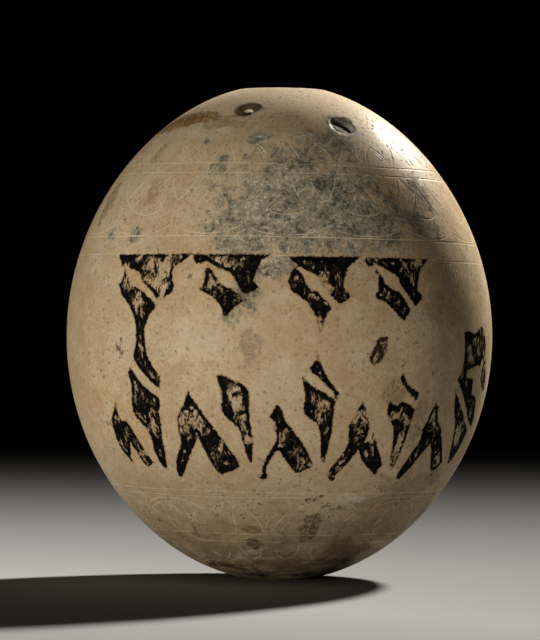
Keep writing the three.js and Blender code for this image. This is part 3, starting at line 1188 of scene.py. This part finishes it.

# Stains, and some patches of painted light and shade: middle and half size in degrees, colour, strength, how
# ragged the edge is
stainsAndPaintedLight = [
    # Painted light: a paler patch over the middle of the front, and a painted sheen where the front-left
    # lamp's reflection falls
    ((-1, -2), (26, 15), (0.6, 0.475, 0.31), 0.35, 1), ((-21, -2.2), (8, 6), (0.8, 0.66, 0.48), 0.22, 1.5),
    # This patch only makes the left edge darker
    ((-75, 0), (14, 30), (0.36, 0.275, 0.165), 0.45, 1),
    ((-19.8, 61.8), (8.8, 2.9), (0.05, 0.033, 0.016), 0.95, 0.35),
    ((-21, 58.6), (5, 1.6), (0.2, 0.11, 0.04), 0.6, 0.7),
    ((29.8, 54.3), (9, 5), (0.26, 0.235, 0.19), 0.8, 0.9),
    # Painted light: the socket's floor is painted paler, as if lit
    ((29.8, 54.3), (6.5, 3.2), (0.22, 0.19, 0.14), 0.9, 0.9),
    # Painted shadow: the dark upper right inside the socket, where its own wall shades it
    ((34, 56.4), (4, 1.8), (0.022, 0.02, 0.016), 1, 0.5),
    ((27.4, 54.8), (1.1, 0.8), (0.025, 0.022, 0.018), 1, 0.4),
    ((24, 54.6), (1.7, 1.9), (0.1, 0.08, 0.055), 0.9, 0.5),
    ((26.8, 57.2), (2.4, 0.9), (0.1, 0.08, 0.055), 0.9, 0.5),
    ((24.6, 52), (2.2, 1), (0.16, 0.13, 0.09), 0.8, 0.5), ((36, 52), (3, 1.8), (0.3, 0.33, 0.38), 0.6, 0.8),
    ((-63, 56.4), (14, 4.2), (0.27, 0.155, 0.05), 1, 0.8), ((-46, 58), (14, 3), (0.26, 0.15, 0.05), 1, 0.8),
    ((-55, 57.5), (15, 3), (0.2, 0.1, 0.03), 0.8, 0.9), ((-72, 54.6), (9, 3), (0.26, 0.155, 0.055), 0.9, 0.8),
    ((-30, 55), (13, 2.6), (0.23, 0.15, 0.07), 0.6, 1), ((-54, 44.5), (2.5, 3), (0.19, 0.09, 0.03), 0.6, 1),
    ((-44, 33.5), (3, 4.5), (0.22, 0.12, 0.045), 0.55, 1), ((-70, 31), (4, 5), (0.16, 0.1, 0.04), 0.7, 1),
    ((-8, 54), (22, 5), (0.3, 0.21, 0.11), 0.5, 1), ((13, -49.5), (4, 5), (0.08, 0.05, 0.022), 0.85, 0.9),
    ((-11.5, -55.5), (4, 2.4), (0.06, 0.038, 0.018), 0.9, 1),
    ((-10.8, -50), (4, 1.5), (0.1, 0.065, 0.03), 0.7, 1),
    ((-38.1, -52.2), (2, 1.4), (0.07, 0.05, 0.03), 0.7, 0.8),
    ((31, -56.5), (8, 4), (0.11, 0.07, 0.032), 0.6, 1), ((45, -64), (9, 2.5), (0.05, 0.035, 0.02), 0.8, 1),
    ((73, -46), (5, 4), (0.07, 0.06, 0.045), 0.8, 1), ((68, -52), (6, 2.5), (0.07, 0.06, 0.045), 0.8, 1),
    ((61, -34), (5, 2.5), (0.09, 0.075, 0.05), 0.7, 1), ((-24, -74), (16, 2), (0.012, 0.01, 0.007), 1, 0.7),
    ((27, -73.6), (15, 2.2), (0.012, 0.01, 0.007), 1, 0.7),
    ((-44, -67), (14, 2), (0.04, 0.03, 0.018), 0.9, 0.9), ((50, -44), (22, 12), (0.14, 0.1, 0.055), 0.55, 1),
    ((26, -39.8), (5, 1.2), (0.55, 0.5, 0.4), 0.6, 1), ((19, -64.7), (4, 0.7), (0.45, 0.4, 0.3), 0.6, 1),
    ((42, -20), (3, 7), (0.17, 0.1, 0.045), 0.6, 0.9), ((32, -13), (4, 3), (0.17, 0.1, 0.045), 0.6, 0.9),
    # Painted shade: the second patch on this line and the first on the next darken the egg's right side
    ((45, 6), (4, 4), (0.15, 0.11, 0.06), 0.4, 1), ((60, 12), (12, 10), (0.26, 0.21, 0.13), 0.45, 0.8),
    ((66, -18), (24, 40), (0.3, 0.24, 0.15), 0.4, 1), ((-7, -3), (3, 4), (0.15, 0.1, 0.055), 0.5, 1),
]

# Blue-grey crusted places: middle and half size in degrees, strength
deposits = [
    ((8, 30), (27, 13), 1.0), ((-8, 24), (14, 7), 0.9), ((28, 24), (16, 6), 0.8), ((18, 47), (12, 5), 0.8),
    ((-57, 22.3), (2, 1.6), 0.9), ((-46, 22), (2.4, 1.9), 1.0), ((-17.4, 23.4), (1.6, 1.2), 1.0),
    ((-21.8, 27.3), (1.2, 0.9), 0.9), ((-17.8, 32.1), (1.7, 1.3), 1.0), ((-22.2, 34), (1.2, 0.9), 0.9),
    ((-22.5, 38.9), (3.6, 1.7), 1.0), ((-21, 41.8), (2, 1.4), 0.9), ((-32, 48.3), (1.8, 1.3), 0.9),
    ((-9.7, 48.6), (4.6, 2.8), 1.0), ((-13, 42.3), (2, 1.2), 0.9), ((2, 42), (12, 5), 0.7),
    ((-8, 10), (4, 5), 0.8), ((-2, 15), (7, 3), 0.9), ((-12, 4), (2.5, 2.5), 0.7), ((50, 33), (7, 5), 0.7),
    ((44, 25), (9, 4), 0.7), ((30, 55), (6, 3), 0.5),
]


# How far each thing stands out of the shell, in millimetres
relief = {
    "grain": 0.035,
    "fine": 0.04,
    "pores": -0.03,
    "pits": -0.05,
    "ink": 0.03,
    "crustLumps": 0.1,
    "hair": -0.006,
}


class Shell(Graph):
    # The outside's material: its colour is laid in coats, each over the last
    def __init__(self):
        super().__init__(newMaterial("eggshellOutside"))
        x, y, z = self.parts("ShaderNodeSeparateXYZ", self.place)
        self.longitude = self.calc("DEGREES", self.calc("ARCTAN2", x, y * -1))
        level = (z - eggRule["middle"]) / (eggRule["length"] / 2)
        self.latitude = self.calc("DEGREES", self.calc("ARCSINE", level))
        self.paint = self.add("ShaderNodeAttribute", out="Fac", attribute_name="paint")
        self.groove = self.add("ShaderNodeAttribute", out="Fac", attribute_name="groove")
        self.broad = self.cloud(self.place, 0.03, 1.3)
        self.middling = self.cloud(self.place, 0.008, 4.1, 8, 0.68)
        self.fine = self.cloud(self.place, 0.0017, 2.2, 6, 0.78)
        self.grain = self.cloud(self.place, 0.0006, 6.6, 3, 0.75)
        self.edge = self.cloud(self.place, 0.0045, 9.4, 8, 0.74)
        self.colour = shellLooks["tan"]

    def coat(self, amount, colour):
        self.colour = self.blend(amount, self.colour, shellLooks.get(colour, colour))

    def patch(self, middle, half, ragged=1.0):
        # 1 well inside a stain, falling to 0 at its ragged edge
        across = (self.longitude - middle[0]) * (1 / half[0])
        up = (self.latitude - middle[1]) * (1 / half[1])
        gap = self.calc("SQRT", across * across + up * up) + self.edge * (ragged * 3.2)
        return gap.ramp(0.75 + ragged * 1.6, 1.15 + ragged * 1.6, 1, 0)

    def dots(self, cell, size, seed):
        # Scattered round dots, some cells with a bigger one and some with none
        plugs = {"Vector": self.mapped(Location=(seed, 0, 0)), "Scale": 1 / cell}
        cells = self.node("ShaderNodeTexVoronoi", plugs).outputs
        chance = self.parts("ShaderNodeSeparateColor", Value(self, cells["Color"]))[0]
        gap = Value(self, cells["Distance"]) - chance.ramp(0.3, 1) * (size / cell)
        return gap.ramp(-0.06, 0.05, 1, 0)

    def layTan(self):
        # The shell's own uneven tan, with a paler crown that is partly painted light from above and a lower
        # half greyed by painted shade
        self.coat(self.broad.ramp(0.35, 0.65), "warm")
        self.coat(self.middling.ramp(0.4, 0.62) * 0.75, "pale")
        self.coat(self.fine.ramp(0.52, 0.64) * 0.5, "warm")
        self.coat(self.fine.ramp(0.47, 0.36) * 0.5, "grey")
        # Painted light: the crown is painted paler, partly its own tone and partly light falling from above
        self.coat(self.latitude.ramp(52, 66) * 0.85, "crownPaleAndLit")
        shade = self.grain.ramp(0.36, 0.64, 0.84, 1.13)
        shade = self.add("ShaderNodeCombineColor", {0: shade, 1: shade, 2: shade})
        self.colour = self.blend(1, self.colour, shade, "MULTIPLY")
        # Painted shade: the lower half is painted greyer, where less light falls from above
        self.coat(self.latitude.ramp(-12, -50) * 0.3, "grey")

    def layDirt(self):
        # Dirt that thickens towards the foot, in streaks that lean; it is also painted shade that darkens the
        # lower part
        sweep = self.mapped(Scale=(1, 1, 2.2))
        self.streaks = self.cloud(sweep, 0.011, 8.3, 8, 0.7, 0.6)
        self.lowDirtAndShade = self.latitude.ramp(-22, -76) * self.streaks.ramp(0.36, 0.6, 0.35, 1)
        self.coat(self.lowDirtAndShade, "footDirtAndShade")
        smears = self.cloud(sweep, 0.006, 3.9, 7, 0.72).ramp(0.5, 0.62)
        self.coat(self.latitude.ramp(-25, -60) * smears * 0.5, "smear")
        self.coat(self.latitude.ramp(-54, -72) * smears * 0.8, "speck")
        # Crumbs of old dirt, mostly on the lower half
        crumbs = self.cloud(self.place, 0.0022, 14.2, 7, 0.8) + self.middling * 0.7
        crumbs = crumbs + self.latitude.ramp(-30, -60) * 0.06
        self.coat(crumbs.ramp(0.97, 1.03) * 0.8, "speck")

    def layStainsAndPaintedLight(self):
        # Real stains, and among them patches of painted light and painted shade
        broken = self.cloud(self.place, 0.0014, 4.4, 4, 0.7).ramp(0.36, 0.58, 0.25, 1)
        for middle, half, colour, strength, ragged in stainsAndPaintedLight:
            amount = self.patch(middle, half, ragged) * strength
            self.coat(amount * broken if ragged > 0.5 else amount, colour)

    def layCrust(self):
        # Blue-grey crust with black and white specks
        self.crust = 0
        for middle, half, strength in deposits:
            self.crust = self.calc("MAXIMUM", self.crust, self.patch(middle, half) * strength)
        lumps = self.cloud(self.place, 0.0042, 5.5, 8, 0.78)
        crumbs = self.cloud(self.place, 0.0009, 7.7, 4, 0.8)
        self.coat(self.crust * 0.4, "depositOchre")
        self.coat(self.crust * lumps.ramp(0.43, 0.5, 0.05, 1), "depositGrey")
        black = self.broad * 0.2 + (lumps * 1.2 + crumbs)
        self.coat(self.crust * black.ramp(1.225, 1.285) * 0.8, "depositBlack")
        white = self.cloud(self.place, 0.0011, 12.1, 4, 0.8) - lumps * 0.6
        self.coat(self.crust * white.ramp(0.25, 0.31) * 0.75, "depositWhite")
        self.crustLumps = self.crust * crumbs

    def layPores(self):
        self.pores = self.dots(0.0015, 0.00055, 2.5)
        self.pits = self.dots(0.0026, 0.00042, 9.9)
        specks = self.dots(0.0052, 0.0008, 5.2)
        self.coat(self.pores * 0.28, "speck")
        self.coat(self.pits * self.broad.ramp(0.4, 0.6, 0.2, 1) * 0.35, "speck")
        self.coat(specks * self.middling.ramp(0.5, 0.6) * 0.8, "speck")

    def layLines(self):
        # Cut lines show paler, except where dirt fills them
        amount = self.groove.ramp(0, 0.9) * self.streaks.ramp(0.42, 0.62, 0.75, 0.15)
        self.coat(amount * self.latitude.ramp(-30, 0, 0.65, 1), "cream")

    def layPaint(self):
        # Black paint, worn through in streaks, with a brown stain round it
        bareShell = self.colour
        frayed = (self.cloud(self.place, 0.0009, 3.1, 4, 0.75) - 0.5) * 2.2 + self.paint
        self.coat((self.middling * 0.9 + frayed).ramp(0, 0.5) * 0.8, "halo")
        slant = self.mapped(Rotation=(0, 0.35, 0), Scale=(1, 1, 0.5))
        wear = self.cloud(self.place, 0.0075, 6.1, 3) * 0.5 + self.cloud(slant, 0.0025, 1.9, 8, 0.8, 0.9)
        worn = wear - self.paint.ramp(0.1, 1.6, 0.2, 0) * self.middling.ramp(0.42, 0.56, 0, 1.2)
        film = self.blend(worn.ramp(0.77, 0.825) * 0.95, shellLooks["film"], bareShell)
        flecks = self.cloud(slant, 0.0012, 8.8, 5, 0.75).ramp(0.555, 0.59)
        film = self.blend(flecks * 0.8, film, shellLooks["paint"])
        ink = self.blend(self.fine.ramp(0.5, 0.75), shellLooks["paint"], shellLooks["paintBrown"])
        smudge = self.patch((26.5, -4), (5, 5.5), 0)
        ink = self.blend(smudge * 0.6, ink, shellLooks["paintBrown"])
        lost = worn.ramp(0.765, 0.79)
        painted = frayed.ramp(-0.03, 0.06)
        self.coat(painted, self.blend(lost, ink, film))
        self.ink = painted * (1 - lost)

    def layRelief(self):
        hair = self.cloud(self.mapped(Scale=(1, 1, 0.12)), 0.004, 15.5, 3) - 0.5
        self.hair = self.calc("ABSOLUTE", hair).ramp(0, 0.012, 1, 0)
        height = self.grain * 0
        for name, most in relief.items():
            height = height + getattr(self, name) * (most * millimetre)
        return self.add("ShaderNodeBump", {"Height": height, "Distance": 1.0, "Strength": 0.8})


def shellMaterial():
    shell = Shell()
    shell.layTan()
    shell.layDirt()
    shell.layStainsAndPaintedLight()
    shell.layCrust()
    shell.layPores()
    shell.layLines()
    shell.layPaint()
    bump = shell.layRelief()
    hollows = shell.calc("MAXIMUM", shell.pores, shell.pits)
    roughness = shell.middling.ramp(0.3, 0.7, *shellLooks["roughness"])
    roughness = roughness + shell.crust * 0.35 + shell.lowDirtAndShade * 0.15 + shell.ink * 0.12 + hollows * 0.4
    matt = shell.calc("MAXIMUM", shell.calc("MAXIMUM", hollows, shell.crust), shell.groove * 0.8)
    gloss = (shell.ink * -0.003 + 0.008) * (1 - matt)
    return shell.finish(shell.colour, roughness, bump, gloss)


def insideMaterial():
    graph = Graph(newMaterial("eggshellInside"))
    dust = graph.cloud(graph.place, 0.011, 3.4, 6, 0.65).ramp(0.4, 0.65)
    colour = graph.blend(dust, shellLooks["insidePale"], shellLooks["insideDust"])
    grain = graph.cloud(graph.place, 0.0012, 1.4, 3) * 0.00008
    bump = graph.add("ShaderNodeBump", {"Height": grain, "Distance": 1.0})
    return graph.finish(colour, 0.8, bump)


placeCamera()
placeLamps()
layFloor()
egg = makeEgg(shellMaterial(), insideMaterial())
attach(egg, "root")
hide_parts("egg_shell")
